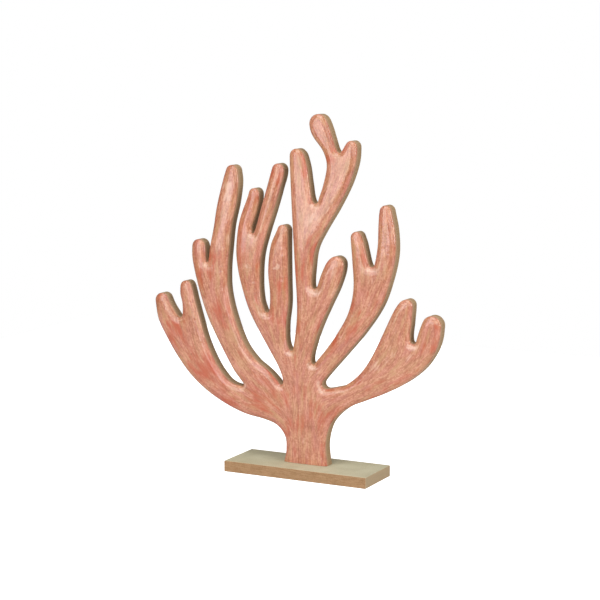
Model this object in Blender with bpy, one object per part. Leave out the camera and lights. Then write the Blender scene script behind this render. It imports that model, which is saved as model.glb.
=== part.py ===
"""Coral ornament: a coral tree sawn from board, standing across a rectangular base board.

Units are metres and +Z is up. The enamelled face looks towards -Y. The origin is the centre
of the base's underside. The coral is one board in the real thing; here thin saw cuts part it
at its main forks, so that every branch is a solid of its own.
"""

import math
from typing import NamedTuple

import bmesh
import bpy
from mathutils import Matrix, Vector
from mathutils.bvhtree import BVHTree
from mathutils.geometry import interpolate_bezier

MM = 0.001

# Base board
BASE_LENGTH = 210 * MM
BASE_DEPTH = 78 * MM
BASE_THICKNESS = 15 * MM
BASE_EASING = 0.8 * MM
BASE_EASING_STEPS = 2

# Coral board
BOARD_THICKNESS = 18 * MM
ROUNDOVER_WIDTH = 6.4 * MM
ROUNDOVER_DEPTH = 4.5 * MM
ROUNDOVER_STEPS = 3
STANDING_GAP = 0.3 * MM
SAW_KERF = 0.3 * MM
SAW_SOLVER = "EXACT"

# Colours are linear; the slots are the order of a coral piece's materials
ENAMEL_SLOT = 0
BARE_SLOT = 1
ENAMEL_COLOR = (0.62, 0.2, 0.13)
ENAMEL_ROUGHNESS = 0.32
ENAMEL_COAT = 0.4
BARE_COLOR = (0.22, 0.15, 0.08)
BARE_ROUGHNESS = 0.7
BASE_COLOR = (0.3, 0.2, 0.12)
BASE_ROUGHNESS = 0.6
SHARP_ANGLE = math.radians(35)

# Fineness of the outline: the turn between points of an arc, and their distance along a side
ARC_STEP = math.radians(24)
SIDE_STEP = 9 * MM

# The foot is cut square at this level, in mm, from an outline that runs on a little below it
FOOT_LEVEL = (BASE_THICKNESS + STANDING_GAP) / MM
FOOT_SPARE = 12


class Arc(NamedTuple):
    """A round stretch of the outline: a finger's tip or the bottom of a fork, in mm and degrees.

    The outline runs clockwise seen from the front, so a tip turns from a larger angle to a
    smaller one and a fork from a smaller angle to a larger one.
    """

    x: float
    z: float
    radius: float
    start: float
    end: float


class Side(NamedTuple):
    """Points, in mm, that a smooth side of a branch passes through between two arcs."""

    points: tuple


# The outline of the cut-out, in mm: x to the right and z up from the table
OUTLINE = (
    Side(((-33, FOOT_LEVEL - FOOT_SPARE), (-31, FOOT_LEVEL), (-28, 32), (-30, 50), (-42, 63.5),
          (-60, 69.5), (-90, 74.5), (-120, 85), (-150, 101), (-175.5, 121), (-196.5, 145.5),
          (-213.5, 171), (-226, 194))),
    Arc(-220.5, 220.8, 10.3, 188, 20),
    Side(((-205.5, 214),)),
    Arc(-192.3, 203.3, 4.3, 215, 350),
    Side(((-188, 219), (-191, 232))),
    Arc(-182.3, 242, 8.6, 178, 22),
    Side(((-168.5, 225), (-161, 200), (-151, 169.5), (-135.5, 139.5), (-118.7, 119.5),
          (-108, 113.8))),
    Arc(-95.7, 114.7, 2.8, 262, 400),
    Side(((-98.5, 122), (-108.5, 134), (-130, 169.5), (-146, 199.5), (-158, 230), (-166.7, 260),
          (-171.6, 284))),
    Arc(-161.6, 298.5, 9.9, 178, 12),
    Side(()),
    Arc(-148.4, 279.2, 1.6, 190, 345),
    Side(((-143.5, 300), (-138, 325), (-132.5, 355), (-124.5, 385))),
    Arc(-109.8, 401.7, 8.8, 160, 8),
    Side(((-99.5, 387), (-103.3, 360), (-110.5, 330), (-114.2, 300), (-117, 270), (-116, 240),
          (-106.8, 205), (-91.6, 170), (-73.5, 149), (-61.5, 140.8), (-50.3, 132.3))),
    Arc(-36.3, 122.6, 3.2, 220, 355),
    Side(((-38.5, 141), (-51.8, 163), (-68.5, 189.5), (-83.5, 216), (-93.5, 243), (-101, 272),
          (-103.3, 300), (-98, 337))),
    Arc(-76.2, 373.2, 7.7, 164, 5),
    Side(((-71.5, 352),)),
    Arc(-78, 322.2, 1.8, 190, 335),
    Side(((-66, 353), (-57.5, 380))),
    Arc(-40.3, 406, 8.8, 162, 2),
    Side(((-38, 380), (-46.8, 352), (-57.5, 321), (-66, 290), (-68, 255), (-65.8, 231))),
    Arc(-57.5, 219.3, 4, 200, 350),
    Side(((-52.3, 240), (-55, 272), (-51, 306))),
    Arc(-33.5, 326.3, 7.8, 160, 0),
    Side(((-25.8, 300), (-25.4, 260), (-25, 230), (-28.6, 195))),
    Arc(-21, 170, 3.4, 215, 350),
    Side(((-13, 202), (-12, 230), (-15.2, 280), (-18.8, 340), (-21.4, 390))),
    Arc(-13.1, 425.4, 9.6, 180, 50),
    Side(((-2.9, 428.6), (0, 421), (3, 410), (6.1, 390))),
    Arc(14.8, 368.3, 4.2, 205, 345),
    Side(((26.6, 390), (31.4, 415), (25.8, 433), (10.5, 453))),
    Arc(18.7, 468.1, 12.6, 185, 40),
    Side(((35.2, 462.5), (40, 448.5))),
    Arc(49.2, 435.2, 3.8, 215, 320),
    Side(()),
    Arc(66.3, 439, 8.4, 140, 0),
    Side(((73, 419), (63.5, 391), (46.6, 359), (28, 329.3), (15.2, 305), (11, 280))),
    Arc(13.6, 255.3, 3.9, 185, 335),
    Side(((23.7, 271.5), (31.3, 287))),
    Arc(45, 285.7, 10.9, 122, 0),
    Side(((49.1, 259), (35, 229.5), (23.2, 204.6), (14, 180))),
    Arc(12, 154.3, 3.4, 185, 325),
    Side(((30.7, 172), (47.4, 195), (63, 223), (70.3, 255), (68.4, 295))),
    Arc(74, 322.4, 7.9, 182, 20),
    Side(((85, 315.5), (88.2, 303))),
    Arc(96.3, 289.3, 4, 205, 345),
    Side(((104.6, 313), (105.5, 340))),
    Arc(115.3, 358, 8.3, 170, 12),
    Side(((129, 333), (130, 303), (123, 270), (109.8, 234.4), (85.7, 198.6), (60, 168.2),
          (38, 143.5))),
    Arc(31, 125.5, 6.2, 142, 275),
    Side(((45, 122.3), (60, 127.4), (79.7, 143.3), (94.5, 163.3), (109.5, 192), (125.3, 225),
          (132, 236.7), (138.3, 244))),
    Arc(146, 238.4, 8.3, 110, 0),
    Side(((152.7, 217),)),
    Arc(155.4, 193.5, 4.2, 190, 345),
    Side(()),
    Arc(180.9, 214.4, 13.2, 155, -8),
    Side(((192.2, 198), (186.4, 181), (172, 159.5), (150.8, 141), (120.5, 123), (90.5, 109.5),
          (65.7, 98.5), (49.2, 86.3), (37, 70.7), (30.6, 45), (33.5, FOOT_LEVEL),
          (36.5, FOOT_LEVEL - FOOT_SPARE))),
)

# Saw cuts at the main forks, each from just inside the fork's gap to past the outer edge
SAW_CUTS = (
    ((-95.2, 114.5), (-99, 70)),
    ((-95.2, 114.5), (-36.3, 121)),
    ((-36.3, 121), (-21, 169)),
    ((-21, 169), (12, 153)),
    ((12, 153), (27, 128)),
    ((37, 123), (60, 90)),
    ((-57.5, 218), (-91, 214)),
    ((-57.5, 218), (-21, 214)),
    ((-78, 321.5), (-109, 312)),
    ((-78, 321.5), (-51, 324)),
    ((13.6, 254), (-19, 258)),
    ((13.6, 254), (50, 247)),
    ((14.8, 367), (-25, 368)),
    ((14.8, 367), (45, 345)),
    ((96.3, 288), (64, 286)),
    ((96.3, 288), (134, 281)),
    ((155.4, 192), (105, 197)),
    ((155.4, 192), (194, 178)),
)

# A point inside each piece of the coral, in mm
PIECES = {
    "trunk": (0, 80),
    "far_left_branch": (-160, 140),
    "left_branch": (-120, 200),
    "centre_left_branch": (-50, 190),
    "centre_left_arm": (-85, 270),
    "centre_left_outer_finger": (-85, 350),
    "centre_left_long_finger": (-50, 380),
    "centre_left_inner_finger": (-40, 270),
    "centre_branch": (0, 220),
    "centre_arm": (0, 310),
    "centre_tall_finger": (-10, 400),
    "centre_crown": (40, 400),
    "centre_side_finger": (40, 275),
    "right_branch": (70, 210),
    "right_short_finger": (76, 310),
    "right_long_finger": (117, 330),
    "far_right_branch": (110, 150),
    "far_right_inner_finger": (140, 215),
    "far_right_outer_finger": (180, 205),
}


def clear_scene():
    """Remove everything that the scene starts with."""
    for item in list(bpy.data.objects):
        bpy.data.objects.remove(item, do_unlink=True)


def surface(name, color, roughness, coat=0.0):
    """Make a Principled material from a linear colour and a roughness."""
    material = bpy.data.materials.new(name)
    material.use_nodes = True
    shader = material.node_tree.nodes["Principled BSDF"]
    shader.inputs["Base Color"].default_value = (*color, 1.0)
    shader.inputs["Roughness"].default_value = roughness
    shader.inputs["Metallic"].default_value = 0.0
    shader.inputs["Coat Weight"].default_value = coat
    return material


def on_arc(arc, degrees):
    """The point of an arc at an angle, and the direction of travel there."""
    angle = math.radians(degrees)
    outward = Vector((math.cos(angle), math.sin(angle)))
    turning = math.copysign(1, arc.end - arc.start)
    travel = Vector((-outward.y, outward.x)) * turning
    return (Vector((arc.x, arc.z)) + outward * arc.radius) * MM, travel


def arc_points(arc):
    """Points along an arc, both ends included."""
    sweep = math.radians(abs(arc.end - arc.start))
    steps = max(2, math.ceil(sweep / ARC_STEP))
    angles = [arc.start + (arc.end - arc.start) * i / steps for i in range(steps + 1)]
    return [on_arc(arc, angle)[0] for angle in angles]


def side_points(stops, first_travel, last_travel):
    """Points of a smooth curve through stops, without its two ends.

    The curve leaves and arrives in the given directions, or straight where one is None.
    """
    travels = [(after - before).normalized() for before, after in zip(stops, stops[2:])]
    travels.insert(0, first_travel or (stops[1] - stops[0]).normalized())
    travels.append(last_travel or (stops[-1] - stops[-2]).normalized())
    points = []
    for i, (here, there) in enumerate(zip(stops, stops[1:])):
        reach = (there - here).length
        steps = max(1, math.ceil(reach / SIDE_STEP))
        leave = here + travels[i] * reach / 3
        arrive = there - travels[i + 1] * reach / 3
        points += interpolate_bezier(here, leave, arrive, there, steps + 1)[:-1]
    return points[1:]


def trace_outline():
    """The whole outline as points in metres, clockwise seen from the front."""
    points = []
    for i, stretch in enumerate(OUTLINE):
        if isinstance(stretch, Arc):
            points += arc_points(stretch)
            continue
        stops = [Vector(point) * MM for point in stretch.points]
        first_travel = None
        last_travel = None
        if i == 0:
            points.append(stops[0])
        else:
            before = OUTLINE[i - 1]
            start, first_travel = on_arc(before, before.end)
            stops.insert(0, start)
        if i < len(OUTLINE) - 1:
            after = OUTLINE[i + 1]
            finish, last_travel = on_arc(after, after.start)
            stops.append(finish)
        points += side_points(stops, first_travel, last_travel)
        if i == len(OUTLINE) - 1:
            points.append(stops[-1])
    return points


def soften(item):
    """Shade an object smooth, with its sharp edges kept."""
    item.data.shade_smooth()
    item.data.set_sharp_from_angle(angle=SHARP_ANGLE)


def new_object(name, mesh, materials, parent):
    """Link a mesh as an object with its materials, under a parent."""
    for material in materials:
        mesh.materials.append(material)
    item = bpy.data.objects.new(name, mesh)
    bpy.context.scene.collection.objects.link(item)
    item.parent = parent
    return item


def coral_board():
    """The whole cut-out as one bmesh: straight bare sides and a rounded enamelled front."""
    half = BOARD_THICKNESS / 2
    shoulder = -half + ROUNDOVER_DEPTH
    shape = bmesh.new()
    rim = [shape.verts.new((point.x, shoulder, point.y)) for point in reversed(trace_outline())]
    front = shape.faces.new(rim)
    front.normal_update()
    back = bmesh.ops.extrude_face_region(shape, geom=[front], use_keep_orig=True)
    moved = [item for item in back["geom"] if isinstance(item, bmesh.types.BMVert)]
    bmesh.ops.translate(shape, verts=moved, vec=(0, half - shoulder, 0))
    bmesh.ops.recalc_face_normals(shape, faces=shape.faces)
    for face in shape.faces:
        face.material_index = BARE_SLOT
    front.material_index = ENAMEL_SLOT
    width_done = 0.0
    depth_done = 0.0
    for step in range(1, ROUNDOVER_STEPS + 1):
        angle = math.pi / 2 * step / ROUNDOVER_STEPS
        width = ROUNDOVER_WIDTH * (1 - math.cos(angle))
        depth = ROUNDOVER_DEPTH * math.sin(angle)
        ring = bmesh.ops.inset_region(
            shape,
            faces=[front],
            thickness=width - width_done,
            depth=depth - depth_done,
            use_boundary=True,
            use_even_offset=True,
        )
        for face in ring["faces"]:
            face.material_index = ENAMEL_SLOT
        width_done = width
        depth_done = depth
    return shape


def cut_foot_square(shape):
    """Saw the foot off level, so that it stands flat with no rounding along its bottom."""
    cut = bmesh.ops.bisect_plane(
        shape,
        geom=shape.verts[:] + shape.edges[:] + shape.faces[:],
        plane_co=(0, 0, FOOT_LEVEL * MM),
        plane_no=(0, 0, 1),
        clear_inner=True,
    )
    edges = [item for item in cut["geom_cut"] if isinstance(item, bmesh.types.BMEdge)]
    sole = bmesh.ops.contextual_create(shape, geom=edges)
    for face in sole["faces"]:
        face.material_index = BARE_SLOT


def saw_blade(number, start, end):
    """A thin upright slab that cuts through the board along a line in its face."""
    here = Vector(start) * MM
    there = Vector(end) * MM
    along = there - here
    shape = bmesh.new()
    bmesh.ops.create_cube(shape, size=1)
    size = Matrix.Diagonal((along.length, 2 * BOARD_THICKNESS, SAW_KERF, 1))
    turn = Matrix.Rotation(-math.atan2(along.y, along.x), 4, "Y")
    bmesh.ops.transform(shape, matrix=turn @ size, verts=shape.verts)
    mesh = bpy.data.meshes.new(f"saw_cut_{number}")
    shape.to_mesh(mesh)
    shape.free()
    blade = new_object(mesh.name, mesh, (), None)
    middle = (here + there) / 2
    blade.location = (middle.x, 0, middle.y)
    blade.hide_render = True
    blade.display_type = "WIRE"
    return blade


def saw_apart(shape):
    """Cut the board with every saw blade and give the result as a bmesh."""
    mesh = bpy.data.meshes.new("coral_board")
    shape.to_mesh(mesh)
    board = new_object(mesh.name, mesh, (), None)
    blades = [saw_blade(i, start, end) for i, (start, end) in enumerate(SAW_CUTS, 1)]
    for blade in blades:
        cut = board.modifiers.new(blade.name, "BOOLEAN")
        cut.operation = "DIFFERENCE"
        cut.solver = SAW_SOLVER
        cut.object = blade
    bpy.context.view_layer.update()
    graph = bpy.context.evaluated_depsgraph_get()
    sawn = bmesh.new()
    sawn.from_mesh(board.evaluated_get(graph).data)
    for item in (board, *blades):
        bpy.data.objects.remove(item, do_unlink=True)
    return sawn


def piece_mesh(name, whole, face):
    """The piece of the sawn board that a face belongs to, as a mesh of its own."""
    mine = set(face.verts)
    to_visit = list(mine)
    while to_visit:
        vert = to_visit.pop()
        linked = {edge.other_vert(vert) for edge in vert.link_edges} - mine
        mine |= linked
        to_visit += linked
    kept = {vert.index for vert in mine}
    part = whole.copy()
    part.verts.index_update()
    others = [vert for vert in part.verts if vert.index not in kept]
    bmesh.ops.delete(part, geom=others, context="VERTS")
    mesh = bpy.data.meshes.new(name)
    part.to_mesh(mesh)
    part.free()
    return mesh


def build_coral(parent):
    """Saw the board apart and make one object of each piece."""
    board = coral_board()
    cut_foot_square(board)
    whole = saw_apart(board)
    board.free()
    whole.verts.index_update()
    whole.faces.ensure_lookup_table()
    tree = BVHTree.FromBMesh(whole)
    for name, (x, z) in PIECES.items():
        ahead = Vector((x * MM, -BOARD_THICKNESS, z * MM))
        seen = tree.ray_cast(ahead, Vector((0, 1, 0)))[2]
        mesh = piece_mesh(name, whole, whole.faces[seen])
        enamel = surface(f"{name}_enamel", ENAMEL_COLOR, ENAMEL_ROUGHNESS, ENAMEL_COAT)
        bare_board = surface(f"{name}_bare_board", BARE_COLOR, BARE_ROUGHNESS)
        piece = new_object(name, mesh, (enamel, bare_board), parent)
        soften(piece)
    whole.free()


def build_base(parent):
    """The rectangular board that the coral stands across."""
    shape = bmesh.new()
    bmesh.ops.create_cube(shape, size=1)
    bmesh.ops.scale(shape, vec=(BASE_LENGTH, BASE_DEPTH, BASE_THICKNESS), verts=shape.verts)
    bmesh.ops.bevel(
        shape,
        geom=shape.edges[:],
        offset=BASE_EASING,
        segments=BASE_EASING_STEPS,
        profile=0.5,
        affect="EDGES",
    )
    mesh = bpy.data.meshes.new("base")
    shape.to_mesh(mesh)
    shape.free()
    base_board = surface("base_board", BASE_COLOR, BASE_ROUGHNESS)
    base = new_object("base", mesh, (base_board,), parent)
    base.location.z = BASE_THICKNESS / 2
    soften(base)


def main():
    """Build the ornament."""
    clear_scene()
    ornament = bpy.data.objects.new("coral_ornament", None)
    bpy.context.scene.collection.objects.link(ornament)
    build_base(ornament)
    build_coral(ornament)


if __name__ == "__main__":
    main()
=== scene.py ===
"""The looks of the coral ornament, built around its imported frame.

One board is sawn to a branching coral, rounded over along its front edge, brushed with salmon
enamel and stood on a bare base board. Sizes in the classes are millimetres, apart from those of
the studio, which are metres like the meshes.
"""

import logging
from dataclasses import dataclass, field
from enum import Enum, IntEnum
from math import ceil, copysign, cos, pi, radians, sin

import bmesh
import bpy
import numpy as np
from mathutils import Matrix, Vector, geometry, kdtree, noise

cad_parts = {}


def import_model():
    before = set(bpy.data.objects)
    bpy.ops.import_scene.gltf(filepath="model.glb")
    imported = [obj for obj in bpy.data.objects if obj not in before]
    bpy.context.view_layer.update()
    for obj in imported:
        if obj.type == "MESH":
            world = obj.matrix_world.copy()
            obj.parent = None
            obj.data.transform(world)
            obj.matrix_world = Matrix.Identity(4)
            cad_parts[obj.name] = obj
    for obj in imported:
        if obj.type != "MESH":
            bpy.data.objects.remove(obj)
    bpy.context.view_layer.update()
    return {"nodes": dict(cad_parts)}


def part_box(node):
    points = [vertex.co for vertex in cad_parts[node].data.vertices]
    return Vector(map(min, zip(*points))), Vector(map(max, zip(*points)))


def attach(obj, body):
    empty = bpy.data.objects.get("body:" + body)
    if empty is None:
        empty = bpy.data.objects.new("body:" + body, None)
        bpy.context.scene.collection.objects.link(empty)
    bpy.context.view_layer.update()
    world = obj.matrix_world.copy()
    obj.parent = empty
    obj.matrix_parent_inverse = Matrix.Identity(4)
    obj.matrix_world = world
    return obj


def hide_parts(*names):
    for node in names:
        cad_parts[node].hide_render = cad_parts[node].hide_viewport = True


MM = 0.001
# The foot is cut square at this level, a hair above the base. The outline runs on below the cut.
FOOT_LEVEL = 15.3
FOOT_SPARE = 12.0
# Strokes are drawn in this many fixed directions, and each place mixes those nearest to its own.
WAYS = 9
# Three shares of the strokes fit in one attribute of the mesh.
SET = 3
# How many finer layers a pattern has.
FINE = 3.0
SOFT = 2.0
# A range map's inputs, in the order in which a pattern and its span give them.
RANGE = ("Value", "From Min", "From Max", "To Max", "To Min")
LOG = logging.getLogger("coral")

Node = bpy.types.Node
Socket = bpy.types.NodeSocket
Tree = bpy.types.NodeTree
Marks = list[Socket]
Pair = tuple[float, float]
Triple = tuple[float, float, float]
# Where in its pattern a colour begins and is at its fullest, and how fully it covers there, if
# not wholly.
Span = Pair | Triple
Spot = tuple[float, float, float, float]


class Slot(Enum):
    """Names of the two material slots."""

    CORAL = "enamelled_board"
    BASE = "base_board"


class Surface(IntEnum):
    """The coral's three surfaces, in the order of its materials."""

    PAINTED = 0
    SAWN = 1
    PRESSED = 2


@dataclass(frozen=True)
class Arc:
    """Part of a circle on the outline: a tip turns clockwise, a fork's bottom the other way."""

    x: float
    z: float
    radius: float
    start: float
    end: float


@dataclass(frozen=True)
class Side:
    """The points that a side of a branch runs through between two arcs."""

    stops: tuple[Pair, ...]


# The coral's outline, clockwise from the left of its foot, as the CAD has it.
OUTLINE = (
    Side((
        (-33, FOOT_LEVEL - FOOT_SPARE), (-31, FOOT_LEVEL), (-28, 32), (-30, 50), (-42, 63.5),
        (-60, 69.5), (-90, 74.5), (-120, 85), (-150, 101), (-175.5, 121), (-196.5, 145.5),
        (-213.5, 171), (-226, 194),
    )),
    Arc(-220.5, 220.8, 10.3, 188, 20),
    Side(((-205.5, 214),)),
    Arc(-192.3, 203.3, 4.3, 215, 350),
    Side(((-188, 219), (-191, 232))),
    Arc(-182.3, 242, 8.6, 178, 22),
    Side((
        (-168.5, 225), (-161, 200), (-151, 169.5), (-135.5, 139.5), (-118.7, 119.5), (-108, 113.8),
    )),
    Arc(-95.7, 114.7, 2.8, 262, 400),
    Side((
        (-98.5, 122), (-108.5, 134), (-130, 169.5), (-146, 199.5), (-158, 230), (-166.7, 260),
        (-171.6, 284),
    )),
    Arc(-161.6, 298.5, 9.9, 178, 12),
    Side(()),
    Arc(-148.4, 279.2, 1.6, 190, 345),
    Side(((-143.5, 300), (-138, 325), (-132.5, 355), (-124.5, 385))),
    Arc(-109.8, 401.7, 8.8, 160, 8),
    Side((
        (-99.5, 387), (-103.3, 360), (-110.5, 330), (-114.2, 300), (-117, 270), (-116, 240),
        (-106.8, 205), (-91.6, 170), (-73.5, 149), (-61.5, 140.8), (-50.3, 132.3),
    )),
    Arc(-36.3, 122.6, 3.2, 220, 355),
    Side((
        (-38.5, 141), (-51.8, 163), (-68.5, 189.5), (-83.5, 216), (-93.5, 243), (-101, 272),
        (-103.3, 300), (-98, 337),
    )),
    Arc(-76.2, 373.2, 7.7, 164, 5),
    Side(((-71.5, 352),)),
    Arc(-78, 322.2, 1.8, 190, 335),
    Side(((-66, 353), (-57.5, 380))),
    Arc(-40.3, 406, 8.8, 162, 2),
    Side(((-38, 380), (-46.8, 352), (-57.5, 321), (-66, 290), (-68, 255), (-65.8, 231))),
    Arc(-57.5, 219.3, 4, 200, 350),
    Side(((-52.3, 240), (-55, 272), (-51, 306))),
    Arc(-33.5, 326.3, 7.8, 160, 0),
    Side(((-25.8, 300), (-25.4, 260), (-25, 230), (-28.6, 195))),
    Arc(-21, 170, 3.4, 215, 350),
    Side(((-13, 202), (-12, 230), (-15.2, 280), (-18.8, 340), (-21.4, 390))),
    Arc(-13.1, 425.4, 9.6, 180, 50),
    Side(((-2.9, 428.6), (0, 421), (3, 410), (6.1, 390))),
    Arc(14.8, 368.3, 4.2, 205, 345),
    Side(((26.6, 390), (31.4, 415), (25.8, 433), (10.5, 453))),
    Arc(18.7, 468.1, 12.6, 185, 40),
    Side(((35.2, 462.5), (40, 448.5))),
    Arc(49.2, 435.2, 3.8, 215, 320),
    Side(()),
    Arc(66.3, 439, 8.4, 140, 0),
    Side(((73, 419), (63.5, 391), (46.6, 359), (28, 329.3), (15.2, 305), (11, 280))),
    Arc(13.6, 255.3, 3.9, 185, 335),
    Side(((23.7, 271.5), (31.3, 287))),
    Arc(45, 285.7, 10.9, 122, 0),
    Side(((49.1, 259), (35, 229.5), (23.2, 204.6), (14, 180))),
    Arc(12, 154.3, 3.4, 185, 325),
    Side(((30.7, 172), (47.4, 195), (63, 223), (70.3, 255), (68.4, 295))),
    Arc(74, 322.4, 7.9, 182, 20),
    Side(((85, 315.5), (88.2, 303))),
    Arc(96.3, 289.3, 4, 205, 345),
    Side(((104.6, 313), (105.5, 340))),
    Arc(115.3, 358, 8.3, 170, 12),
    Side((
        (129, 333), (130, 303), (123, 270), (109.8, 234.4), (85.7, 198.6), (60, 168.2), (38, 143.5),
    )),
    Arc(31, 125.5, 6.2, 142, 275),
    Side((
        (45, 122.3), (60, 127.4), (79.7, 143.3), (94.5, 163.3), (109.5, 192), (125.3, 225),
        (132, 236.7), (138.3, 244),
    )),
    Arc(146, 238.4, 8.3, 110, 0),
    Side(((152.7, 217),)),
    Arc(155.4, 193.5, 4.2, 190, 345),
    Side(()),
    Arc(180.9, 214.4, 13.2, 155, -8),
    Side((
        (192.2, 198), (186.4, 181), (172, 159.5), (150.8, 141), (120.5, 123), (90.5, 109.5),
        (65.7, 98.5), (49.2, 86.3), (37, 70.7), (30.6, 45), (33.5, FOOT_LEVEL),
        (36.5, FOOT_LEVEL - FOOT_SPARE),
    )),
)


def linear(colour: str) -> tuple[float, float, float, float]:
    """Turns an sRGB hex colour into linear red, green and blue and a full alpha."""
    steps = [int(colour[i : i + 2], 16) / 255 for i in (1, 3, 5)]
    return (*[s / 12.92 if s <= 0.04045 else ((s + 0.055) / 1.055) ** 2.4 for s in steps], 1.0)


def connect(tree: Tree, node: Node, inputs: dict) -> None:
    """Links a node's inputs, and sets those that are the same all over on their own sockets.

    Args:
        tree: the node tree that the node is in.
        node: the node.
        inputs: for each input, by name or index, an output socket to link or a value to set.
    """
    for key, value in inputs.items():
        if isinstance(value, Socket):
            tree.links.new(value, node.inputs[key])
        else:
            node.inputs[key].default_value = value


def add_node(tree: Tree, kind: str, inputs: dict | None = None, **settings: object) -> Node:
    """Adds one node with its settings and links.

    Args:
        tree: the node tree that the node goes into.
        kind: the node's Blender type, without ShaderNode before it.
        inputs: for each input, by name or index, an output socket to link or a value to set.
        settings: the node's own properties.

    Returns:
        The new node.
    """
    node = tree.nodes.new("ShaderNode" + kind)
    for name, value in settings.items():
        setattr(node, name, value)
    connect(tree, node, inputs or {})
    return node


def new_material(name: str) -> tuple[bpy.types.Material, Tree, Node]:
    """Makes an empty material.

    Args:
        name: the material's name.

    Returns:
        The material, its node tree and its Principled shader.
    """
    material = bpy.data.materials.new(name)
    material.use_nodes = True
    tree = material.node_tree
    shader = next(n for n in tree.nodes if n.type == "BSDF_PRINCIPLED")
    return material, tree, shader


def tint(tree: Tree, under: object, hue: object, pattern: Socket, span: Span) -> Socket:
    """Lays one colour over another, each a socket or a value, where a pattern is strong."""
    amount = add_node(tree, "MapRange", dict(zip(RANGE, (pattern, *span)))).outputs[0]
    return add_node(tree, "Mix", {0: amount, 6: under, 7: hue}, data_type="RGBA").outputs[2]


def smooth_step(value: np.ndarray) -> np.ndarray:
    """Eases values from 0 to 1."""
    held = np.clip(value, 0, 1)
    return held * held * (3 - 2 * held)


def rolling(points: np.ndarray, size: float, seed: float) -> np.ndarray:
    """Gives each point a smooth value from about -1 to 1, from hills so far apart, by a seed."""
    return np.array([noise.noise(Vector((x / size, z / size, seed))) for x, z in points.tolist()])


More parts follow.
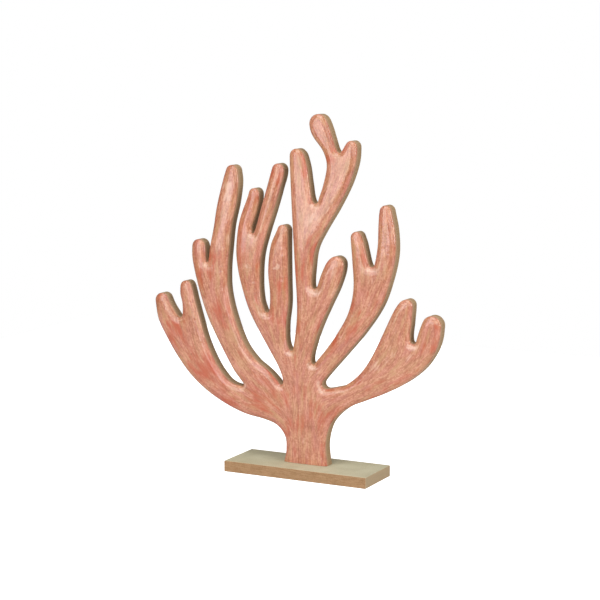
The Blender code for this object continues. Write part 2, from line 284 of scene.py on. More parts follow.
@dataclass
class Tracing:
    """The coral's outline as a closed run of points, and what lies nearest to a place inside it."""

    spacing: float = 1.5
    # The outline counts as straight where its turn over this many points is small.
    look: int = 4
    # The straightness, a cosine, where a stretch begins to count and the rise to counting fully.
    bend: Pair = (0.5, 0.4)
    # Every third point guides the brush. Nearer ones count for more, by this power of distance.
    skip: int = 3
    blur: float = 3.0
    falloff: float = -4.0
    # The brush went straight up the trunk's middle: its x, and its lowest, highest and next z.
    trunk_x: float = 1.5
    trunk_run: Triple = (18.0, 112.0, 4.5)
    # Places are looked up in batches of this many, to spare memory.
    batch: int = 2000
    points: np.ndarray = field(init=False)
    lengths: np.ndarray = field(init=False)
    outward: np.ndarray = field(init=False)

    def __post_init__(self) -> None:
        """Samples the outline and sets up the search for its nearest point."""
        self.points = self._sample()
        ahead, behind = np.roll(self.points, -1, 0), np.roll(self.points, 1, 0)
        run = np.linalg.norm(ahead - self.points, axis=1)
        self.lengths = np.concatenate([[0.0], np.cumsum(run)[:-1]])
        travel = (ahead - behind) / np.linalg.norm(ahead - behind, axis=1)[:, None]
        self.outward = np.column_stack([-travel[:, 1], travel[:, 0]])
        self._tree = kdtree.KDTree(len(self.points))
        for i, (x, z) in enumerate(self.points.tolist()):
            self._tree.insert((x, z, 0), i)
        self._tree.balance()

    @staticmethod
    def _on_arc(arc: Arc, degrees: float) -> tuple[Vector, Vector]:
        """Finds a place on an arc.

        Args:
            arc: the arc.
            degrees: the angle on it, from +X towards +Z.

        Returns:
            The point and the direction of travel there.
        """
        outward = Vector((cos(radians(degrees)), sin(radians(degrees))))
        along = Vector((-outward.y, outward.x)) * copysign(1, arc.end - arc.start)
        return Vector((arc.x, arc.z)) + outward * arc.radius, along

    def _arc(self, arc: Arc) -> list[Vector]:
        """Follows an arc.

        Args:
            arc: the arc.

        Returns:
            The points along it, both ends included.
        """
        steps = max(2, ceil(abs(radians(arc.end - arc.start)) * arc.radius / self.spacing))
        return [
            self._on_arc(arc, arc.start + (arc.end - arc.start) * i / steps)[0]
            for i in range(steps + 1)
        ]

    def _side(self, stops: list[Vector], first: Vector | None, last: Vector | None) -> list[Vector]:
        """Runs a smooth curve through a side's stops.

        Args:
            stops: the points to pass through, both ends included.
            first: the direction of travel at the start, or None where the side starts free.
            last: the direction of travel at the end, or None where it ends free.

        Returns:
            The curve's points without its two ends.
        """
        ways = []
        for i in range(len(stops)):
            before, after = stops[max(i - 1, 0)], stops[min(i + 1, len(stops) - 1)]
            ways.append((after - before).normalized())
        ways[0], ways[-1] = first or ways[0], last or ways[-1]
        points: list[Vector] = []
        for here, there, leave, arrive in zip(stops, stops[1:], ways, ways[1:]):
            reach = (there - here).length
            steps = max(1, round(reach / self.spacing))
            points += geometry.interpolate_bezier(
                here, here + leave * reach / 3, there - arrive * reach / 3, there, steps + 1
            )[:-1]
        return points[1:]

    def _sample(self) -> np.ndarray:
        """Follows the whole outline.

        Returns:
            Its points in order, rows of x and z.
        """
        points: list[Vector] = []
        for i, piece in enumerate(OUTLINE):
            if isinstance(piece, Arc):
                points += self._arc(piece)
                continue
            stops = [Vector(stop) for stop in piece.stops]
            before = OUTLINE[i - 1] if i else None
            after = OUTLINE[i + 1] if i + 1 < len(OUTLINE) else None
            first = last = None
            if before:
                start, first = self._on_arc(before, before.end)
                stops.insert(0, start)
            else:
                points.append(stops[0])
            if after:
                end, last = self._on_arc(after, after.start)
                stops.append(end)
            points += self._side(stops, first, last)
            if not after:
                points.append(stops[-1])
        return np.array([(p.x, p.y) for p in points])

    def nearest(self, places: np.ndarray) -> np.ndarray:
        """Finds the index of the outline point nearest to each place."""
        return np.array([self._tree.find((x, z, 0))[1] for x, z in places.tolist()])

    def contains(self, places: np.ndarray) -> np.ndarray:
        """Tells which places lie inside the outline."""
        near = self.nearest(places)
        return ((places - self.points[near]) * self.outward[near]).sum(1) < 0

    def distance(self, places: np.ndarray) -> np.ndarray:
        """Measures how far places lie from the outline.

        Args:
            places: rows of x and z.

        Returns:
            Each place's distance in millimetres.
        """
        near = self.nearest(places)
        count = len(self.points)
        far = np.full(len(places), np.inf)
        for step in (-1, 0):
            a, b = (near + step) % count, (near + step + 1) % count
            edge = self.points[b] - self.points[a]
            along = ((places - self.points[a]) * edge).sum(1) / np.linalg.norm(edge, axis=1) ** 2
            foot = self.points[a] + edge * np.clip(along, 0, 1)[:, None]
            far = np.minimum(far, np.linalg.norm(foot - places, axis=1))
        return far

    def runs(self, places: np.ndarray) -> np.ndarray:
        """Finds which way the branch runs at each place, from the straighter outline round it.

        Args:
            places: rows of x and z.

        Returns:
            The angle from +Z towards +X at each place, in radians. A half turn is the same way.
        """
        across, up = self.outward[:, 1], -self.outward[:, 0]
        travel = np.column_stack([across, up])
        turn = (np.roll(travel, -self.look, 0) * np.roll(travel, self.look, 0)).sum(1)
        straight = np.clip((turn - self.bend[0]) / self.bend[1], 0, 1)
        double = np.column_stack([up**2 - across**2, 2 * across * up]) * straight[:, None]
        heights = np.arange(*self.trunk_run)
        middle = np.column_stack([np.full(len(heights), self.trunk_x), heights])
        guides = np.concatenate([self.points[:: self.skip], middle])
        ways = np.concatenate([double[:: self.skip], np.tile((1.0, 0.0), (len(heights), 1))])
        found = []
        for start in range(0, len(places), self.batch):
            part = places[start : start + self.batch, None]
            gap = np.linalg.norm(part - guides[None], axis=2)
            found.append((gap + self.blur) ** self.falloff @ ways)
        cosines, sines = np.concatenate(found).T
        return np.arctan2(sines, cosines) / 2


@dataclass(frozen=True)
class BrushedEnamel:
    """Alkyd enamel laid on with a soft brush along each branch.

    Gloss over a pale undercoat gives the eye clear highlights on the rounding, fine beige and rosy
    strokes, redder streaks where the brush was full, and a few specks that dried in it. The pale
    undercoat is also painted in as highlight below the forks and as sheen high on the branches.
    """

    coat: str = "#B4785E"
    light: str = "#CA9478"
    shade: str = "#9A5E47"
    beige: str = "#B28860"
    pink: str = "#BB786C"
    full: str = "#AF5339"
    # The pale undercoat is also painted in as highlight below the forks and as sheen high up.
    undercoat_and_sheen: str = "#DCBBA6"
    speck: str = "#7E3F2C"
    lip: str = "#B68B70"
    # The length and width of a bristle mark, about 0.5 mm wide in the real coat and drawn at
    # 1.8 mm, so that it shows, and of one pull of the brush.
    stroke: Pair = (15.0, 1.8)
    sweep: Pair = (42.0, 7.0)
    breaks: float = 0.6
    # Metres across and up from one direction's strokes to the next's, so that none repeat.
    apart: Pair = (0.31, 0.17)
    # Uneven patches in a stroke and clouds of thicker enamel, each with its share in the pattern.
    mottle: Pair = (2.6, 0.8)
    clouds: Pair = (34.0, 0.7)
    # The sweeps' shares in tone and in fullness, and the strokes' in hue and in fullness.
    sweep_shares: Pair = (0.85, 0.7)
    stroke_share: float = 0.2
    # Where in its pattern each colour begins and is at its fullest, and how fully it covers there.
    light_span: Span = (0.0, 1.05)
    shade_span: Span = (0.0, -1.05)
    beige_span: Span = (0.0, 0.8, 0.6)
    pink_span: Span = (0.0, -0.8, 0.5)
    full_span: Span = (0.15, 1.0, 0.85)
    # The undercoat's span also paints the highlights and the sheen.
    bare_and_sheen_span: Span = (-0.55, -1.1, 0.4)
    speck_span: Span = (0.0, 1.0, 0.6)
    # Specks: the size of the cells that may hold one, how many cells don't, and the reach of its
    # edge and its core in a cell.
    speck_cell: float = 19.0
    speckless: float = 0.62
    speck_edge: Pair = (0.1, 0.04)
    # The lip wavers with the strokes, and starts and ends at these depths. So does its dullness.
    waver: float = 0.9
    lip_span: Span = (-5.4 * MM, -4.4 * MM)
    dull_span: Span = (-5.0 * MM, -4.2 * MM)
    dullness: float = 0.4
    gloss: float = 0.1
    gloss_change: float = 0.04
    gloss_reach: float = 0.4
    # How high strokes and sweeps stand, and how strongly they show.
    stroke_height: float = 0.03
    sweep_height: float = 0.1
    relief: float = 0.3
    ior: float = 1.55

    def material(self) -> bpy.types.Material:
        """Builds the material.

        Returns:
            The enamel, thin at the outermost lip of the rounding.
        """
        material, tree, shader = new_material("brushed_salmon_enamel")
        place = add_node(tree, "TexCoord").outputs["Object"]
        strokes = self._dabs(tree, place, self.stroke, FINE)
        sweeps = self._dabs(tree, place, self.sweep, SOFT)
        colour = self._coat(tree, place, strokes, sweeps)
        wet_and_sheen = self._wet_and_sheen(tree, place, strokes, sweeps)
        colour = tint(tree, colour, linear(self.full), wet_and_sheen, self.full_span)
        # Pale undercoat where the brush was dry, and painted highlight and painted sheen where the
        # spots put them.
        colour = tint(tree, colour, linear(self.undercoat_and_sheen), wet_and_sheen, self.bare_and_sheen_span)
        colour = tint(tree, colour, linear(self.speck), self._specks(tree, place), self.speck_span)
        depth = add_node(tree, "SeparateXYZ", {0: place}).outputs[1]
        parts = {0: strokes[0], 1: self.waver * MM, 2: depth}
        outward = add_node(tree, "Math", parts, operation="MULTIPLY_ADD").outputs[0]
        colour = tint(tree, colour, linear(self.lip), outward, self.lip_span)
        connect(tree, shader, {
            "Base Color": colour,
            "Roughness": self._roughness(tree, sweeps[1], outward),
            "IOR": self.ior,
            "Normal": self._relief(tree, strokes[0], sweeps[0]),
        })
        return material

    def _dabs(self, tree: Tree, place: Socket, size: Pair, detail: float) -> Marks:
        """Draws brush strokes that turn with the branch.

        Straight dabs are drawn in every way, and each shows where the branch runs that way.

        Args:
            tree: the material's node tree.
            place: where on the object a point lies.
            size: a stroke's length and width.
            detail: how many finer layers the strokes have.

        Returns:
            Three sets of strokes, each a value round 0 and seldom beyond 0.5 either way.
        """
        strokes: object = (0.0, 0.0, 0.0)
        for i in range(WAYS):
            if i % SET == 0:
                brush = add_node(tree, "Attribute", attribute_name=f"brush_{i // SET}")
                shares = add_node(tree, "SeparateXYZ", {0: brush.outputs["Vector"]}).outputs
            turned = {
                "Vector": place,
                "Location": (self.apart[0] * i, 0.0, self.apart[1] * i),
                "Rotation": (0.0, pi * i / WAYS, 0.0),
                "Scale": (size[1] * MM, 1.0, size[0] * MM),
            }
            laid = add_node(tree, "Mapping", turned, vector_type="TEXTURE").outputs[0]
            look = {"Vector": laid, "Scale": 1.0, "Detail": detail, "Roughness": self.breaks}
            dabs = add_node(tree, "TexNoise", look, normalize=False).outputs["Color"]
            parts = {0: dabs, 1: shares[i % SET], 2: strokes}
            strokes = add_node(tree, "VectorMath", parts, operation="MULTIPLY_ADD").outputs[0]
        return list(add_node(tree, "SeparateXYZ", {0: strokes}).outputs)

    def _coat(self, tree: Tree, place: Socket, strokes: Marks, sweeps: Marks) -> Socket:
        """Colours the coat, lighter and darker, beiger and pinker from stroke to stroke.

        Args:
            tree: the material's node tree.
            place: where on the object a point lies.
            strokes: the fine strokes.
            sweeps: the broad strokes.

        Returns:
            The coat's colour.
        """
        size, share = self.mottle
        spots = {"Vector": place, "Scale": 1 / (size * MM), "Detail": SOFT}
        mottle = add_node(tree, "TexNoise", spots, normalize=False).outputs[0]
        tone = strokes[0]
        for pattern, part in ((mottle, share), (sweeps[0], self.sweep_shares[0])):
            parts = {0: pattern, 1: part, 2: tone}
            tone = add_node(tree, "Math", parts, operation="MULTIPLY_ADD").outputs[0]
        parts = {0: strokes[1], 1: self.stroke_share, 2: sweeps[1]}
        hue = add_node(tree, "Math", parts, operation="MULTIPLY_ADD").outputs[0]
        colour: object = linear(self.coat)
        for shade, pattern, span in (
            (self.light, tone, self.light_span),
            (self.shade, tone, self.shade_span),
            (self.beige, hue, self.beige_span),
            (self.pink, hue, self.pink_span),
        ):
            colour = tint(tree, colour, linear(shade), pattern, span)
        return colour

    def _wet_and_sheen(self, tree: Tree, place: Socket, strokes: Marks, sweeps: Marks) -> Socket:
        """Tells how full the brush was, with the painted highlights and sheen counted as dry.

        Args:
            tree: the material's node tree.
            place: where on the object a point lies.
            strokes: the fine strokes.
            sweeps: the broad strokes.

        Returns:
            A value round 0, near 1 where the enamel is thickest and -1 where the brush was dry and
            where highlight or sheen is painted.
        """
        wet_and_sheen = add_node(tree, "Attribute", attribute_name="loaded_and_sheen").outputs["Fac"]
        size, share = self.clouds
        spread = {"Vector": place, "Scale": 1 / (size * MM), "Detail": FINE}
        clouds = add_node(tree, "TexNoise", spread, normalize=False).outputs[0]
        for pattern, part in (
            (clouds, share), (sweeps[2], self.sweep_shares[1]), (strokes[2], self.stroke_share)
        ):
            parts = {0: pattern, 1: part, 2: wet_and_sheen}
            wet_and_sheen = add_node(tree, "Math", parts, operation="MULTIPLY_ADD").outputs[0]
        return wet_and_sheen

    def _specks(self, tree: Tree, place: Socket) -> Socket:
        """Scatters specks of some 2 mm, about 30 mm apart.

        Args:
            tree: the material's node tree.
            place: where on the object a point lies.

        Returns:
            1 in a speck and 0 round it.
        """
        spread = {"Vector": place, "Scale": 1 / (self.speck_cell * MM), "Randomness": 1.0}
        cell = add_node(tree, "TexVoronoi", spread).outputs
        chosen = {0: cell["Color"], 1: self.speckless}
        rare = add_node(tree, "Math", chosen, operation="GREATER_THAN").outputs[0]
        reach = dict(zip(RANGE, (cell["Distance"], *self.speck_edge)))
        dot = add_node(tree, "MapRange", reach).outputs[0]
        return add_node(tree, "Math", {0: rare, 1: dot}, operation="MULTIPLY").outputs[0]

    def _roughness(self, tree: Tree, sweep: Socket, outward: Socket) -> Socket:
        """Makes the gloss change a little from pull to pull, and dulls it at the lip.

        Args:
            tree: the material's node tree.
            sweep: the broad strokes.
            outward: how far back on the rounding a point lies.

        Returns:
            The roughness.
        """
        reach, change = self.gloss_reach, self.gloss_change
        spans = (
            (sweep, -reach, reach, self.gloss + change, self.gloss - change),
            (outward, *self.dull_span, self.dullness),
        )
        both = {}
        for i, span in enumerate(spans):
            both[i] = add_node(tree, "MapRange", dict(zip(RANGE, span))).outputs[0]
        return add_node(tree, "Math", both, operation="ADD").outputs[0]

    def _relief(self, tree: Tree, stroke: Socket, sweep: Socket) -> Socket:
        """Raises the strokes.

        Args:
            tree: the material's node tree.
            stroke: the fine strokes.
            sweep: the broad strokes.

        Returns:
            The normal of the brushed surface.
        """
        fine = {"Height": stroke, "Strength": self.relief, "Distance": self.stroke_height * MM}
        normal = add_node(tree, "Bump", fine).outputs[0]
        broad = {"Height": sweep, "Strength": self.relief, "Distance": self.sweep_height * MM}
        return add_node(tree, "Bump", {**broad, "Normal": normal}).outputs[0]


@dataclass(frozen=True)
class Fibreboard:
    """What all bare medium density fibreboard has: a matt surface of fibres that stand up."""

    relief: float = 0.4
    height: float = 0.1
    roughness: float = 0.7
    ior: float = 1.45

    def dress(self, tree: Tree, shader: Node, colour: Socket, fibres: Socket) -> None:
        """Wires up the shader.

        Args:
            tree: the material's node tree.
            shader: its Principled shader.
            colour: the board's colour.
            fibres: how high the fibres stand.
        """
        rise = {"Height": fibres, "Strength": self.relief, "Distance": self.height * MM}
        normal = add_node(tree, "Bump", rise).outputs[0]
        surface = {"Roughness": self.roughness, "IOR": self.ior}
        connect(tree, shader, {"Base Color": colour, "Normal": normal, **surface})


@dataclass(frozen=True)
class SawnFibreboard(Fibreboard):
    """Medium density fibreboard cut with a fine saw.

    The open core gives the eye a dull olive brown with fuzzy fibres and faint saw lines across it.
    Enamel dragged over the front edge tints it there.
    """

    core: str = "#B09370"
    dark: str = "#8F7250"
    drag: str = "#C09778"
    # Saw marks are some 0.3 mm apart and fibres 0.2 mm thick: both are drawn coarser to show.
    line: float = 1.3
    fuzz: float = 0.9
    fibre_breaks: float = 0.7
    even: float = 0.5
    span: Span = (0.35, 0.62)
    # The drag is uneven by so much from saw mark to saw mark, and fades from front to back.
    uneven: float = 5.0
    drag_span: Span = (4.6 * MM, -4.2 * MM, 0.95)
    relief: float = 0.6
    height: float = 0.25
    roughness: float = 0.82

    def material(self) -> bpy.types.Material:
        """Builds the material.

        Returns:
            The sawn edge, with enamel dragged over its front.
        """
        material, tree, shader = new_material("sawn_fibreboard_edge")
        place = add_node(tree, "TexCoord").outputs["Object"]
        along = add_node(tree, "Attribute", attribute_name="along").outputs["Fac"]
        sawn = {"W": along, "Scale": 1 / self.line, "Detail": FINE}
        lines = add_node(tree, "TexNoise", sawn, noise_dimensions="1D").outputs[0]
        fuzzy = {
            "Vector": place,
            "Scale": 1 / (self.fuzz * MM),
            "Detail": FINE,
            "Roughness": self.fibre_breaks,
        }
        fibres = add_node(tree, "TexNoise", fuzzy).outputs["Fac"]
        grain = add_node(tree, "Mix", {0: self.even, 2: lines, 3: fibres}).outputs[0]
        colour = tint(tree, linear(self.dark), linear(self.core), grain, self.span)
        depth = add_node(tree, "SeparateXYZ", {0: place}).outputs[1]
        parts = {0: lines, 1: self.uneven * MM, 2: depth}
        uneven = add_node(tree, "Math", parts, operation="MULTIPLY_ADD").outputs[0]
        colour = tint(tree, colour, linear(self.drag), uneven, self.drag_span)
        self.dress(tree, shader, colour, grain)
        return material


@dataclass(frozen=True)
class PressedFibreboard(Fibreboard):
    """The pressed and sanded face of fibreboard.

    Short fibres in all directions give the eye a smooth greyish beige with a fine fleck.
    """

    face: str = "#C9BA98"
    fleck: str = "#AE9A78"
    # The fibres are about 0.3 mm thick in the real board and drawn coarser, so that they show.
    fibre: float = 1.1
    fibre_detail: float = 4.0
    fibre_breaks: float = 0.7
    curl: float = 0.8
    cloud: float = 28.0
    cloud_share: float = 0.35
    span: Span = (0.38, 0.6)

    def colour(self, tree: Tree, place: Socket) -> tuple[Socket, Socket]:
        """Draws the face's colour.

        Args:
            tree: the material's node tree.
            place: where on the object a point lies.

        Returns:
            The colour and the fibres' height.
        """
        short = {
            "Vector": place,
            "Scale": 1 / (self.fibre * MM),
            "Detail": self.fibre_detail,
            "Roughness": self.fibre_breaks,
            "Distortion": self.curl,
        }
        fibres = add_node(tree, "TexNoise", short).outputs["Fac"]
        wide = {"Vector": place, "Scale": 1 / (self.cloud * MM), "Detail": SOFT}
        clouds = add_node(tree, "TexNoise", wide).outputs["Fac"]
        both = add_node(tree, "Mix", {0: self.cloud_share, 2: fibres, 3: clouds})
        return tint(tree, linear(self.fleck), linear(self.face), both.outputs[0], self.span), fibres

    def material(self) -> bpy.types.Material:
        """Builds the material.

        Returns:
            The sanded face.
        """
        material, tree, shader = new_material("sanded_fibreboard_face")
        place = add_node(tree, "TexCoord").outputs["Object"]
        colour, fibres = self.colour(tree, place)
        self.dress(tree, shader, colour, fibres)
        return material


@dataclass(frozen=True)
class BaseFibreboard(Fibreboard):
    """Bare medium density fibreboard of the base.

    Its sanded faces give the eye a smooth greyish beige, its sawn edges a warmer brown with long
    layers. The two ends are painted paler as painted light, the sheen of light grazing them.
    """

    faces: PressedFibreboard = PressedFibreboard(face="#C6BFA3", fleck="#B0A686", fibre=1.2)
    edge: str = "#A4825E"
    edge_dark: str = "#856340"
    # The ends' colour is painted light: paler for the sheen of light grazing them.
    end: str = "#B19C7C"
    # Layers of pressed fibre run along the edge: their length, depth and height.
    layer: Triple = (9.0, 9.0, 1.1)
    even: float = 0.5
    span: Span = (0.38, 0.62)
    # How squarely a surface has to look along an axis to count as an end or as a face.
    lit_end_span: Span = (0.5, 0.8, 0.8)
    face_span: Span = (0.5, 0.8)
    relief: float = 0.45
    height: float = 0.15
    roughness: float = 0.72

    def material(self) -> bpy.types.Material:
        """Builds the material.

        Returns:
            The board, its faces and edges told apart by which way they face.
        """
        material, tree, shader = new_material("base_fibreboard")
        place = add_node(tree, "TexCoord").outputs["Object"]
        face, fibres = self.faces.colour(tree, place)
        scale = tuple(1 / (size * MM) for size in self.layer)
        long = add_node(tree, "VectorMath", {0: place, 1: scale}, operation="MULTIPLY").outputs[0]
        pressed = {"Vector": long, "Scale": 1.0, "Detail": FINE}
        layers = add_node(tree, "TexNoise", pressed).outputs["Fac"]
        grain = add_node(tree, "Mix", {0: self.even, 2: layers, 3: fibres}).outputs[0]
        edge = tint(tree, linear(self.edge_dark), linear(self.edge), grain, self.span)
        normal = add_node(tree, "NewGeometry").outputs["Normal"]
        facing = add_node(tree, "VectorMath", {0: normal}, operation="ABSOLUTE").outputs[0]
        sideways, _, flat = add_node(tree, "SeparateXYZ", {0: facing}).outputs
        # Painted light: the ends get the paler colour.
        edge = tint(tree, edge, linear(self.end), sideways, self.lit_end_span)
        colour = tint(tree, edge, face, flat, self.face_span)
        height = add_node(tree, "Mix", {0: flat, 2: layers, 3: fibres}).outputs[0]
        self.dress(tree, shader, colour, height)
        return material


@dataclass
class Coral:
    """The coral: one sawn board, rounded over in front, flat behind, standing on its cut foot."""

    thickness: float = 18.0
    rounding_width: float = 10.0
    rounding_depth: float = 4.5
    # The rounding's width wanders by so much, in hills so far apart, of this pattern.
    wander: Triple = (0.7, 33.0, 4.2)
    # The face is hollowed by so much between hills so far apart, of this pattern.
    hollow: Triple = (0.22, 15.0, 9.1)
    # The enamel's softening: how often, how strongly, and from which distance over which width.
    settling: int = 5
    settling_share: float = 0.6
    settling_span: Pair = (2.5, 3.0)
    # How far inside the outline the front's rings of points lie, and how far off one may be.
    rings: tuple[float, ...] = (0.1, 0.4, 0.9, 1.6, 2.5, 3.5, 4.6, 5.8, 7.1, 8.6, 10.4, 12.6)
    ring_slack: float = 0.03
    # Rings deeper than this are thinned to cells that grow with the depth, up to a widest.
    thinned: float = 2.0
    cell: Triple = (0.5, 0.07, 1.2)
    # The grid of points beyond the rings: its spacing, its row height and its gap to the rings.
    grid: float = 3.2
    row: float = 0.866
    grid_gap: float = 0.6
    side_levels: tuple[float, ...] = (-2.0, 1.0, 4.0, 7.0)
    back_easing: float = 0.35
    sharp: float = 40.0
    # Below each fork a painted highlight, a pale crescent round its bottom where the gloss catches
    # the lamps: how pale, at which turns round the fork, how far from its edge, and how wide.
    highlight_paleness: float = 0.95
    crescent: tuple[float, ...] = (-44.0, -22.0, 0.0, 22.0, 44.0)
    crescent_gap: float = 4.2
    crescent_width: float = 2.5
    # Where the brush was full, or with a minus nearly dry: x, z, how far round, and how much. The
    # minus spots are partly thin paint and partly painted reflection: those high on the branches
    # and the small strong ones paint the pale sheen of the lamps on the gloss.
    loads_and_sheen: tuple[Spot, ...] = (
        (-178, 160, 45, 0.35), (-110, 102, 40, 0.22), (-80, 100, 20, 0.3), (-50, 92, 16, 0.3),
        (-157, 131, 20, 0.35), (-199, 178, 20, 0.3), (-140, 112, 18, 0.4), (-188, 180, 16, 0.3),
        (-128, 215, 14, 0.3), (-116, 190, 12, 0.3), (-152, 262, 10, 0.3), (-138, 290, 9, 0.3),
        (73, 202, 9, 0.35), (-2, 318, 11, 0.35), (-12, 424, 10, 0.3), (168, 222, 8, 0.15),
        (20, 80, 18, 0.25), (45, 110, 10, 0.3), (-22, 30, 14, 0.3), (-112, 383, 8, -1),
        (-113, 365, 9, -1.1), (-117, 340, 10, -1), (-128, 301, 9, -0.7), (-86.5, 276, 2.8, -1.9),
        (-81, 275, 2.6, -1.6), (-83.5, 268, 2.6, -1.4), (-43.5, 276, 2.8, -1.8),
        (-38.5, 278.5, 2.8, -1.8), (8, 345, 11, -0.9), (50, 412, 8, -0.5), (-153, 160, 14, -0.5),
        (186, 200, 11, -0.5), (150, 175, 30, -0.25), (90, 235, 14, -0.3), (90, 275, 11, -0.5),
        (40, 277, 9, -0.5),
    )
    tracing: Tracing = field(default_factory=Tracing)

    def inside_points(self) -> np.ndarray:
        """Sets out the front's points, on rings along the outline and on a grid further in.

        Returns:
            Rows of x and z.
        """
        rings = []
        least, growth, widest = self.cell
        for depth in self.rings:
            ring = self.tracing.points - self.tracing.outward * depth
            kept = ring[self.tracing.distance(ring) > depth - self.ring_slack]
            if depth > self.thinned:
                cell = np.round(kept / min(widest, least + depth * growth)).astype(int)
                kept = kept[np.sort(np.unique(cell, axis=0, return_index=True)[1])]
            rings.append(kept)
        low, high = self.tracing.points.min(0), self.tracing.points.max(0)
        xs = np.arange(low[0], high[0], self.grid)
        zs = np.arange(low[1], high[1], self.grid * self.row)
        shift = self.grid * 0.5
        lattice = np.array([(x + shift * (j % 2), z) for j, z in enumerate(zs) for x in xs])
        lattice = lattice[self.tracing.contains(lattice)]
        clear = self.rings[-1] + self.grid * self.grid_gap
        rings.append(lattice[self.tracing.distance(lattice) > clear])
        return np.concatenate(rings)

    def front_depth(self, places: np.ndarray) -> np.ndarray:
        """Gives the front surface's y at each place, in millimetres.

        Args:
            places: rows of x and z.

        Returns:
            The depth, lowest where the face stands furthest forward.
        """
        away = self.tracing.distance(places)
        change, *hills = self.wander
        width = self.rounding_width + change * rolling(places, *hills)
        fall = np.clip(1 - away / width, 0, 1)
        rounding = self.rounding_depth * (1 - np.sqrt(1 - fall**2))
        sink, *hills = self.hollow
        waves = 0.5 + 0.5 * rolling(places, *hills)
        settled = smooth_step(away / self.rounding_width)
        return -self.thickness / 2 + rounding + sink * waves * settled

    def settle(self, places: np.ndarray, faces: list, depth: np.ndarray) -> np.ndarray:
        """Softens the ridge along the middle of each branch, as thick enamel does.

        Args:
            places: the front's points, rows of x and z.
            faces: the triangles between them.
            depth: the front surface's y at each point.

        Returns:
            The softened depth. The outer part of the rounding keeps its shape.
        """
        corners = np.array(faces)
        ends = np.concatenate([corners[:, [0, 1]], corners[:, [1, 2]], corners[:, [2, 0]]])
        start, width = self.settling_span
        pull = smooth_step((self.tracing.distance(places) - start) / width)
        size = len(places)
        count = np.bincount(ends.ravel(), minlength=size)
        for _ in range(self.settling):
            total = np.bincount(ends[:, 0], depth[ends[:, 1]], size)
            total = total + np.bincount(ends[:, 1], depth[ends[:, 0]], size)
            depth = depth + pull * self.settling_share * (total / count - depth)
        return depth

    def shape(self) -> bpy.types.Object:
        """Builds the coral's mesh.

        Returns:
            The object, its surfaces marked by material index.
        """
        rim = self.tracing.points
        count = len(rim)
        seeds = [Vector(p) for p in np.concatenate([rim, self.inside_points()]).tolist()]
        edges = [(i, (i + 1) % count) for i in range(count)]
        places, _, faces, *_ = geometry.delaunay_2d_cdt(seeds, edges, [], 1, 1e-4)
        flat = np.array([(p.x, p.y) for p in places])
        depth = self.settle(flat, faces, self.front_depth(flat))
        work = bmesh.new()
        front = self._verts(work, flat, depth.tolist())
        for a, b, c in faces:
            work.faces.new((front[a], front[b], front[c])).material_index = Surface.PAINTED
        back = self.thickness / 2
        above = front[:count]
        for level in (*self.side_levels, back - self.back_easing):
            below = self._verts(work, rim, [level] * count)
            self._skirt(work, above, below, Surface.SAWN)
            above = below
        eased = rim - self.tracing.outward * self.back_easing
        last = self._verts(work, eased, [back] * count)
        self._skirt(work, above, last, Surface.SAWN)
        corners = [Vector(p) for p in eased.tolist()]
        _, _, faces, *_ = geometry.delaunay_2d_cdt(corners, edges, [], 1, 1e-5)
        for a, b, c in faces:
            work.faces.new((last[c], last[b], last[a])).material_index = Surface.PRESSED
        self._cut_foot(work)
        bmesh.ops.recalc_face_normals(work, faces=work.faces[:])
        for face in work.faces:
            face.smooth = True
        mesh = bpy.data.meshes.new("coral")
        work.to_mesh(mesh)
        work.free()
        mesh.set_sharp_from_angle(angle=radians(self.sharp))
        coral = bpy.data.objects.new("coral", mesh)
        bpy.context.scene.collection.objects.link(coral)
        return coral

    @staticmethod
    def _verts(work: bmesh.types.BMesh, places: np.ndarray, depths: list[float]) -> list:
        """Adds a vertex to the mesh at each x and z, with its y from the depths."""
        spots = zip(places.tolist(), depths)
        return [work.verts.new((x * MM, y * MM, z * MM)) for (x, z), y in spots]

    @staticmethod
    def _skirt(work: bmesh.types.BMesh, above: list, below: list, surface: Surface) -> None:
        """Joins two closed runs of vertices with a band of faces.

        Args:
            work: the mesh being made.
            above: the run nearer the front.
            below: the run nearer the back.
            surface: which of the coral's surfaces the band is.
        """
        for i in range(len(above)):
            j = (i + 1) % len(above)
            work.faces.new((above[i], above[j], below[j], below[i])).material_index = surface

    @staticmethod
    def _cut_foot(work: bmesh.types.BMesh) -> None:
        """Cuts the foot square and closes it.

        Args:
            work: the mesh being made.
        """
        cut = bmesh.ops.bisect_plane(
            work,
            geom=work.verts[:] + work.edges[:] + work.faces[:],
            dist=1e-7,
            plane_co=(0, 0, FOOT_LEVEL * MM),
            plane_no=(0, 0, -1),
            clear_outer=True,
        )
        rim = [e for e in cut["geom_cut"] if isinstance(e, bmesh.types.BMEdge)]
        for face in bmesh.ops.contextual_create(work, geom=rim)["faces"]:
            face.material_index = Surface.SAWN
        bmesh.ops.triangulate(work, faces=[f for f in work.faces if len(f.verts) > 4])

    def _crescents(self) -> list[Spot]:
        """Finds the places below the forks where a pale crescent is painted as a highlight.

        Returns:
            Spots with a minus that paint the highlight pale, some for each fork.
        """
        found = []
        for arc in OUTLINE:
            if isinstance(arc, Arc) and arc.end > arc.start:
                # Painted highlight: the pale undercoat in a crescent below this fork.
                reach = arc.radius + self.crescent_gap
                for turn in self.crescent:
                    angle = radians((arc.start + arc.end) / 2 + turn)
                    x, z = arc.x + reach * cos(angle), arc.z + reach * sin(angle)
                    found.append((x, z, self.crescent_width, -self.highlight_paleness))
        return found

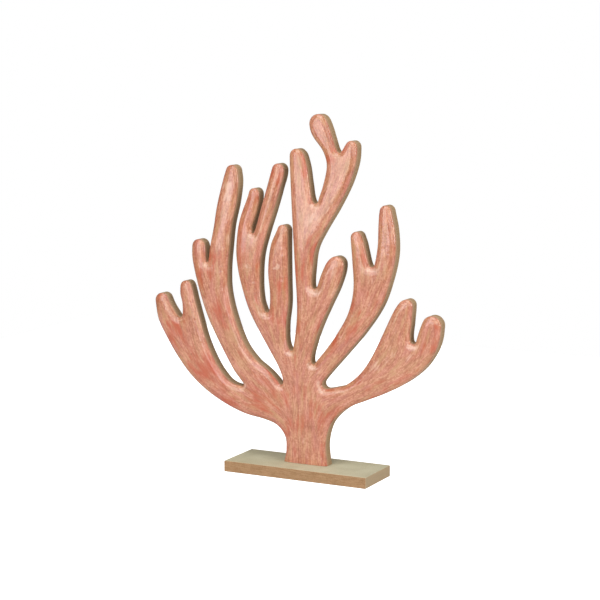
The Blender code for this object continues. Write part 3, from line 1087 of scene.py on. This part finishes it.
    def mark(self, mesh: bpy.types.Mesh) -> None:
        """Writes what the finishes go by.

        That is which way the brush ran, how full it was with the painted highlights and sheen in
        it, and the length along the outline.

        Args:
            mesh: the coral's mesh.
        """
        spots = np.zeros(len(mesh.vertices) * 3)
        mesh.vertices.foreach_get("co", spots)
        spots = spots.reshape(-1, 3)[:, [0, 2]] / MM
        turns = self.tracing.runs(spots)[:, None] - pi * np.arange(WAYS) / WAYS
        shares = np.maximum(np.cos(2 * turns) - cos(2 * pi / WAYS), 0)
        shares /= np.linalg.norm(shares, axis=1)[:, None]
        for i in range(0, WAYS, SET):
            brush = mesh.attributes.new(f"brush_{i // SET}", "FLOAT_VECTOR", "POINT")
            brush.data.foreach_set("vector", shares[:, i : i + SET].astype(np.float32).ravel())
        loaded_and_sheen = np.zeros(len(spots))
        for x, z, reach, strength in (*self.loads_and_sheen, *self._crescents()):
            loaded_and_sheen += strength * np.exp(-((spots - (x, z)) ** 2).sum(1) / reach**2)
        along = self.tracing.lengths[self.tracing.nearest(spots)]
        for name, values in (("loaded_and_sheen", loaded_and_sheen), ("along", along)):
            attribute = mesh.attributes.new(name, "FLOAT", "POINT")
            attribute.data.foreach_set("value", values.astype(np.float32))

    def build(self, low: Vector, high: Vector) -> bpy.types.Object:
        """Builds and dresses the coral.

        Args:
            low: the lowest corner of the solids that it stands for, in metres.
            high: their highest corner.

        Returns:
            The finished piece, riding on the frame.
        """
        coral = self.shape()
        for vertex in coral.data.vertices:
            vertex.co = [min(max(v, a), b) for v, a, b in zip(vertex.co, low, high)]
        self.mark(coral.data)
        for finish in (BrushedEnamel(), SawnFibreboard(), PressedFibreboard()):
            coral.data.materials.append(finish.material())
        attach(coral, "root")
        return coral


@dataclass
class Base:
    """The base board, kept as the CAD has it."""

    node: str = "base"
    finish: BaseFibreboard = BaseFibreboard()

    def dress(self, board: bpy.types.Object) -> None:
        """Gives the CAD board its fibreboard."""
        board.material_slots[0].material = self.finish.material()


@dataclass(frozen=True)
class Lamp:
    """One soft box: where it stands, its width, height and power in watts, and what it lights."""

    name: str
    stand: Triple
    width: float
    height: float
    power: float
    aim: Triple = (0.0, 0.0, 0.24)

    def place(self) -> None:
        """Adds the lamp to the scene."""
        light = bpy.data.lights.new(self.name, "AREA")
        light.shape = "RECTANGLE"
        light.size, light.size_y, light.energy = self.width, self.height, self.power
        lamp = bpy.data.objects.new(self.name, light)
        lamp.location = self.stand
        way = Vector(self.aim) - Vector(self.stand)
        lamp.rotation_euler = way.to_track_quat("-Z", "Y").to_euler()
        bpy.context.scene.collection.objects.link(lamp)


@dataclass
class Studio:
    """A white table, soft boxes and the camera. Sizes are metres and angles degrees."""

    lamps: tuple[Lamp, ...] = (
        Lamp("low_front_box", (-0.77, -2.01, 0.60), 1.15, 1.15, 15.4),
        Lamp("high_front_box", (-0.15, -1.43, 1.90), 1.5, 1.6, 30.0),
        Lamp("foot_front_box", (-0.8, -2.0, -0.15), 1.2, 0.5, 1.2),
        Lamp("front_right_box", (0.85, -2.5, 0.75), 1.9, 1.4, 17.8),
        Lamp("overhead_box", (0.0, -0.2, 2.2), 1.5, 1.5, 9.0),
        Lamp("upper_right_box", (1.8, -0.6, 1.8), 1.2, 1.2, 16.0),
        Lamp("right_box", (1.6, -0.6, 0.52), 0.7, 0.7, 10.6),
        Lamp("rear_box", (0.0, 1.6, 1.8), 1.5, 1.0, 4.5),
        Lamp("low_rear_box", (0.0, 2.5, 0.3), 0.5, 0.7, 10.0),
    )
    # How bright the room and the table's own glow are to all but the camera, which sees white.
    room: float = 0.03
    glow: float = 0.12
    table: str = "#D2D2D2"
    table_roughness: float = 0.9
    table_reach: float = 1.0
    # The table lies a hair under the base, in millimetres.
    table_gap: float = 0.05
    # The camera's place, in millimetres.
    eye: Triple = (1062.54, -2097.30, 589.54)
    pitch: float = 8.58
    yaw: float = 27.07
    lens: float = 108.0
    sensor: float = 36.0
    # Half a pixel of 600, as the photograph is framed.
    half_pixel: float = 0.5 / 600
    far: float = 60.0

    def build(self) -> None:
        """Sets up the table, the lights, the room and the camera."""
        self._table()
        for lamp in self.lamps:
            lamp.place()
        self._room()
        self._camera()
        bpy.context.scene.view_settings.view_transform = "Standard"

    @staticmethod
    def _seen_white(tree: Tree, otherwise: float) -> Socket:
        """Gives full strength to light that goes straight to the camera, and less otherwise."""
        seen = add_node(tree, "LightPath").outputs["Is Camera Ray"]
        return add_node(tree, "Math", {0: seen, 1: otherwise}, operation="MAXIMUM").outputs[0]

    def _table(self) -> None:
        """Lays a matt white table that also glows from below."""
        mesh = bpy.data.meshes.new("floor")
        far = self.table_reach
        corners = [(-far, -far, 0), (far, -far, 0), (far, far, 0), (-far, far, 0)]
        mesh.from_pydata(corners, [], [(0, 1, 2, 3)])
        floor = bpy.data.objects.new("floor", mesh)
        floor.location.z = -self.table_gap * MM
        material, tree, shader = new_material("matt_white_table")
        connect(tree, shader, {
            "Base Color": linear(self.table),
            "Roughness": self.table_roughness,
            "Emission Color": linear("#FFFFFF"),
            "Emission Strength": self._seen_white(tree, self.glow),
        })
        mesh.materials.append(material)
        bpy.context.scene.collection.objects.link(floor)

    def _room(self) -> None:
        """Keeps the room round the lights dim, with a white wall behind for the camera."""
        world = bpy.data.worlds.new("studio")
        world.use_nodes = True
        tree = world.node_tree
        background = next(n for n in tree.nodes if n.type == "BACKGROUND")
        strength = self._seen_white(tree, self.room)
        connect(tree, background, {"Color": linear("#FFFFFF"), "Strength": strength})
        bpy.context.scene.world = world

    def _camera(self) -> None:
        """Stands the camera where the photograph was taken from."""
        data = bpy.data.cameras.new("camera")
        data.lens = self.lens
        data.sensor_width = self.sensor
        data.shift_x, data.shift_y = -self.half_pixel, self.half_pixel
        data.clip_end = self.far
        camera = bpy.data.objects.new("camera", data)
        camera.location = [v * MM for v in self.eye]
        camera.rotation_euler = (radians(90 - self.pitch), 0, radians(self.yaw))
        bpy.context.scene.collection.objects.link(camera)
        bpy.context.scene.camera = camera


def main() -> None:
    """Builds the ornament and its studio, and logs each step and the coral's vertex and face
    counts.
    """
    logging.basicConfig(level=logging.INFO, format="%(name)s: %(message)s")
    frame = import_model()
    Studio().build()
    LOG.info("studio: table, lights and camera")
    base = Base()
    base.dress(frame["nodes"][base.node])
    LOG.info("base: fibreboard on the CAD board, slot %s", Slot.BASE.value)
    branches = [name for name in frame["nodes"] if name != base.node]
    corners = [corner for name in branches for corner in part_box(name)]
    low, high = (
        Vector([pick(c[axis] for c in corners) for axis in range(3)]) for pick in (min, max)
    )
    coral = Coral().build(low, high)
    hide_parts(*branches)
    LOG.info("coral: %d vertices, %d faces", len(coral.data.vertices), len(coral.data.polygons))


if __name__ == "__main__":
    main()
